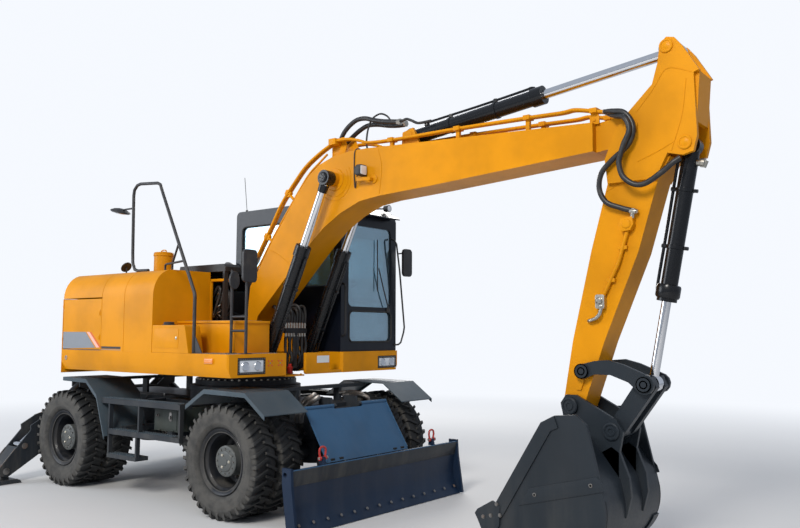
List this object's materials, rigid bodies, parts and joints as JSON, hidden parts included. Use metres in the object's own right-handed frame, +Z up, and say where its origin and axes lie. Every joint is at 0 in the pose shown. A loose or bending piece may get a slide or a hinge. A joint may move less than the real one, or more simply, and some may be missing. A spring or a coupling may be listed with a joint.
{
  "type": "wheeled excavator",
  "caption": "Wheeled excavator with twin tyres, dozer blade, folding stabilisers, slewing body with cab, one-piece boom, arm and bucket; wheels steer and roll and cylinders follow their levers.",
  "frame": {"origin": "on the ground, under the middle of the machine's length and width; the slewing axis stands 1.32 m behind it", "axes": "+X ahead, over the dozer blade and along the boom, +Y to the cab's side, +Z up"},
  "size_m": [7.597, 3.44, 3.9109],
  "materials": {
    "body_orange": "gloss paint",
    "carrier_grey": "satin paint",
    "box_green": "satin paint",
    "tyre_rubber": "dusty rubber",
    "cylinder_black": "gloss paint",
    "rod_chrome": "polished",
    "cab_black": "satin paint",
    "cab_glass": "clear",
    "seat_plastic": "textured",
    "tool_grey": "satin paint"
  },
  "bodies": {
    "chassis": {"chassis_frame": "carrier_grey", "slew_ring": "carrier_grey", "fenders": "carrier_grey", "side_steps": "carrier_grey", "toolboxes": "box_green", "front_axle": "carrier_grey", "rear_axle": "carrier_grey", "driveline": "carrier_grey"},
    "knuckle_left_body": {"knuckle_left": "carrier_grey"},
    "knuckle_right_body": {"knuckle_right": "carrier_grey"},
    "steering_rod_body": {"steering_rod": "rod_chrome"},
    "wheel_front_left": {"tyres_front_left": "tyre_rubber", "rims_front_left": "carrier_grey"},
    "wheel_front_right": {"tyres_front_right": "tyre_rubber", "rims_front_right": "carrier_grey"},
    "wheel_rear_left": {"tyres_rear_left": "tyre_rubber", "rims_rear_left": "carrier_grey"},
    "wheel_rear_right": {"tyres_rear_right": "tyre_rubber", "rims_rear_right": "carrier_grey"},
    "blade": {"blade_arms": "carrier_grey", "dozer_blade": "carrier_grey"},
    "blade_cover_body": {"blade_cover": "carrier_grey"},
    "blade_barrels_body": {"blade_barrels": "cylinder_black"},
    "blade_rods_body": {"blade_rods": "rod_chrome"},
    "upper": {"upper_frame": "body_orange", "counterweight": "body_orange", "engine_hood": "body_orange", "engine_block": "carrier_grey", "fuel_tank": "body_orange", "centre_cover": "cab_black", "valve_block": "cab_black", "handrails": "cab_black", "cab_shell": "cab_black", "cab_glass": "cab_glass", "cab_interior": "seat_plastic"},
    "lid": {"engine_lid": "body_orange"},
    "door_right": {"side_door_right": "body_orange"},
    "door_left": {"side_door_left": "body_orange"},
    "door_cab": {"cab_door": "cab_black", "door_glass": "cab_glass"},
    "boom_body": {"boom": "body_orange"},
    "boom_barrels_body": {"boom_barrels": "cylinder_black"},
    "boom_rods_body": {"boom_rods": "rod_chrome"},
    "arm_body": {"arm": "body_orange"},
    "arm_barrel_body": {"arm_barrel": "cylinder_black"},
    "arm_rod_body": {"arm_rod": "rod_chrome"},
    "bucket_body": {"bucket": "tool_grey"},
    "bucket_link_body": {"bucket_link": "tool_grey"},
    "push_link_body": {"bucket_push_link": "tool_grey"},
    "bucket_barrel_body": {"bucket_barrel": "cylinder_black"},
    "bucket_rod_body": {"bucket_rod": "rod_chrome"},
    "stabiliser_leg_left_body": {"stabiliser_leg_left": "carrier_grey"},
    "stabiliser_foot_left_body": {"stabiliser_foot_left": "carrier_grey"},
    "stabiliser_barrel_left_body": {"stabiliser_barrel_left": "cylinder_black"},
    "stabiliser_rod_left_body": {"stabiliser_rod_left": "rod_chrome"},
    "stabiliser_leg_right_body": {"stabiliser_leg_right": "carrier_grey"},
    "stabiliser_foot_right_body": {"stabiliser_foot_right": "carrier_grey"},
    "stabiliser_barrel_right_body": {"stabiliser_barrel_right": "cylinder_black"},
    "stabiliser_rod_right_body": {"stabiliser_rod_right": "rod_chrome"}
  },
  "joints": [
    {"name": "steer_left", "type": "hinge", "parent": "chassis", "child": "knuckle_left_body", "pos_m": [-0.27, 0.58, 0.522], "axis": [0, 0, 1], "range_deg": [-28, 28]},
    {"name": "steer_right", "type": "hinge", "parent": "chassis", "child": "knuckle_right_body", "pos_m": [-0.27, -0.58, 0.522], "axis": [0, 0, 1], "range_deg": [-28.5, 28.5]},
    {"name": "steering_slide", "type": "slide", "parent": "chassis", "child": "steering_rod_body", "axis": [0, 1, 0], "range_m": [-0.11, 0.11]},
    {"name": "spin_front_left", "type": "hinge", "parent": "knuckle_left_body", "child": "wheel_front_left", "pos_m": [-0.27, 0.95, 0.522], "axis": [0, 1, 0], "continuous": true},
    {"name": "spin_front_right", "type": "hinge", "parent": "knuckle_right_body", "child": "wheel_front_right", "pos_m": [-0.27, -0.95, 0.522], "axis": [0, 1, 0], "continuous": true},
    {"name": "spin_rear_left", "type": "hinge", "parent": "chassis", "child": "wheel_rear_left", "pos_m": [-2.96, 0.95, 0.522], "axis": [0, 1, 0], "continuous": true},
    {"name": "spin_rear_right", "type": "hinge", "parent": "chassis", "child": "wheel_rear_right", "pos_m": [-2.96, -0.95, 0.522], "axis": [0, 1, 0], "continuous": true},
    {"name": "blade_lift", "type": "hinge", "parent": "chassis", "child": "blade", "pos_m": [0.08, 0, 0.45], "axis": [0, -1, 0], "range_deg": [-8, 25]},
    {"name": "blade_barrel_tilt", "type": "hinge", "parent": "chassis", "child": "blade_barrels_body", "pos_m": [0.06, 0, 0.93], "axis": [0, -1, 0], "range_deg": [-4.37, 11.53]},
    {"name": "blade_rod_slide", "type": "slide", "parent": "blade_barrels_body", "child": "blade_rods_body", "axis": [0.6069, 0, -0.7948], "range_m": [-0.1342, 0.045]},
    {"name": "blade_cover_swing", "type": "hinge", "parent": "chassis", "child": "blade_cover_body", "pos_m": [0.18, 0, 0.985], "axis": [0, -1, 0], "range_deg": [-3.1, 8.5]},
    {"name": "stabiliser_left_swing", "type": "hinge", "parent": "chassis", "child": "stabiliser_leg_left_body", "pos_m": [-3.63, 0.5, 0.78], "axis": [1, 0, 0], "range_deg": [-5, 80]},
    {"name": "stabiliser_left_foot_tilt", "type": "hinge", "parent": "stabiliser_leg_left_body", "child": "stabiliser_foot_left_body", "pos_m": [-3.63, 1.56, 0.14], "axis": [1, 0, 0], "range_deg": [-25, 15]},
    {"name": "stabiliser_left_barrel_tilt", "type": "hinge", "parent": "chassis", "child": "stabiliser_barrel_left_body", "pos_m": [-3.63, 0.62, 1.06], "axis": [1, 0, 0], "range_deg": [-6.45, 88.25]},
    {"name": "stabiliser_left_rod_slide", "type": "slide", "parent": "stabiliser_barrel_left_body", "child": "stabiliser_rod_left_body", "axis": [0, 0.7463, -0.6656], "range_m": [-0.3776, 0.0264]},
    {"name": "stabiliser_right_swing", "type": "hinge", "parent": "chassis", "child": "stabiliser_leg_right_body", "pos_m": [-3.63, -0.5, 0.78], "axis": [-1, 0, 0], "range_deg": [-5, 80]},
    {"name": "stabiliser_right_foot_tilt", "type": "hinge", "parent": "stabiliser_leg_right_body", "child": "stabiliser_foot_right_body", "pos_m": [-3.63, -1.56, 0.14], "axis": [-1, 0, 0], "range_deg": [-25, 15]},
    {"name": "stabiliser_right_barrel_tilt", "type": "hinge", "parent": "chassis", "child": "stabiliser_barrel_right_body", "pos_m": [-3.63, -0.62, 1.06], "axis": [-1, 0, 0], "range_deg": [-6.45, 88.25]},
    {"name": "stabiliser_right_rod_slide", "type": "slide", "parent": "stabiliser_barrel_right_body", "child": "stabiliser_rod_right_body", "axis": [0, -0.7463, -0.6656], "range_m": [-0.3776, 0.0264]},
    {"name": "slew", "type": "hinge", "parent": "chassis", "child": "upper", "pos_m": [-1.32, 0, 1.2], "axis": [0, 0, 1], "continuous": true},
    {"name": "cab_door_swing", "type": "hinge", "parent": "upper", "child": "door_cab", "pos_m": [-1.112, 1.25, 2.2], "axis": [0, 0, 1], "range_deg": [0, 160]},
    {"name": "side_door_right_swing", "type": "hinge", "parent": "upper", "child": "door_right", "pos_m": [-2.982, -1.25, 1.78], "axis": [0, 0, -1], "range_deg": [0, 100]},
    {"name": "side_door_left_swing", "type": "hinge", "parent": "upper", "child": "door_left", "pos_m": [-2.982, 1.25, 1.78], "axis": [0, 0, 1], "range_deg": [0, 100]},
    {"name": "engine_lid_lift", "type": "hinge", "parent": "upper", "child": "lid", "pos_m": [-2.225, 0, 2.34], "axis": [0, 1, 0], "range_deg": [0, 60]},
    {"name": "boom_lift", "type": "hinge", "parent": "upper", "child": "boom_body", "pos_m": [-0.95, -0.1, 1.69], "axis": [0, -1, 0], "range_deg": [-60, 38]},
    {"name": "boom_barrel_tilt", "type": "hinge", "parent": "upper", "child": "boom_barrels_body", "pos_m": [-0.6, -0.1, 1.38], "axis": [0, -1, 0], "range_deg": [-59.7, 38.18]},
    {"name": "boom_rod_slide", "type": "slide", "parent": "boom_barrels_body", "child": "boom_rods_body", "axis": [0.4211, 0, 0.907], "range_m": [-0.4472, 0.2843]},
    {"name": "arm_swing", "type": "hinge", "parent": "boom_body", "child": "arm_body", "pos_m": [3.28, -0.1, 3.27], "axis": [0, 1, 0], "range_deg": [-97, 18]},
    {"name": "arm_barrel_tilt", "type": "hinge", "parent": "boom_body", "child": "arm_barrel_body", "pos_m": [1.1, -0.1, 3.535], "axis": [0, 1, 0], "range_deg": [-1.47, 3.51]},
    {"name": "arm_rod_slide", "type": "slide", "parent": "arm_barrel_body", "child": "arm_rod_body", "axis": [0.9926, 0, 0.1211], "range_m": [-0.9432, 0.1775]},
    {"name": "bucket_curl", "type": "hinge", "parent": "arm_body", "child": "bucket_body", "pos_m": [2.75, -0.1, 1.14], "axis": [0, -1, 0], "range_deg": [-105, 58]},
    {"name": "link_swing", "type": "hinge", "parent": "arm_body", "child": "bucket_link_body", "pos_m": [2.85, -0.1, 1.41], "axis": [0, -1, 0], "range_deg": [-80.41, 44.86]},
    {"name": "push_link_swing", "type": "hinge", "parent": "bucket_link_body", "child": "push_link_body", "pos_m": [3.34, -0.1, 1.326], "axis": [0, -1, 0], "range_deg": [-24.35, 43.28]},
    {"name": "bucket_barrel_tilt", "type": "hinge", "parent": "arm_body", "child": "bucket_barrel_body", "pos_m": [3.68, -0.1, 3.09], "axis": [0, -1, 0], "range_deg": [-5.67, 3.58]},
    {"name": "bucket_rod_slide", "type": "slide", "parent": "bucket_barrel_body", "child": "bucket_rod_body", "axis": [-0.1893, 0, -0.9819], "range_m": [-0.3197, 0.5763]}
  ],
  "couplings": [
    {"joint": "steer_right", "follows": "steer_left", "ratio": 1},
    {"joint": "steering_slide", "follows": "steer_left", "m_per_rad": -0.2161},
    {"joint": "blade_barrel_tilt", "follows": "blade_lift", "ratio": 0.42099},
    {"joint": "blade_rod_slide", "follows": "blade_lift", "m_per_rad": -0.3006},
    {"joint": "blade_cover_swing", "follows": "blade_lift", "ratio": 0.32},
    {"joint": "stabiliser_left_barrel_tilt", "follows": "stabiliser_left_swing", "ratio": 1.0906},
    {"joint": "stabiliser_left_rod_slide", "follows": "stabiliser_left_swing", "m_per_rad": -0.26831},
    {"joint": "stabiliser_right_barrel_tilt", "follows": "stabiliser_right_swing", "ratio": 1.0906},
    {"joint": "stabiliser_right_rod_slide", "follows": "stabiliser_right_swing", "m_per_rad": -0.26831},
    {"joint": "boom_barrel_tilt", "follows": "boom_lift", "ratio": 0.97831},
    {"joint": "boom_rod_slide", "follows": "boom_lift", "m_per_rad": 0.42419},
    {"joint": "arm_barrel_tilt", "follows": "arm_swing", "ratio": -0.02586},
    {"joint": "arm_rod_slide", "follows": "arm_swing", "m_per_rad": 0.55537},
    {"joint": "link_swing", "follows": "bucket_curl", "ratio": 0.75624},
    {"joint": "push_link_swing", "follows": "bucket_curl", "ratio": -0.40262},
    {"joint": "bucket_barrel_tilt", "follows": "bucket_curl", "ratio": 0.04452},
    {"joint": "bucket_rod_slide", "follows": "bucket_curl", "m_per_rad": -0.31285}
  ]
}
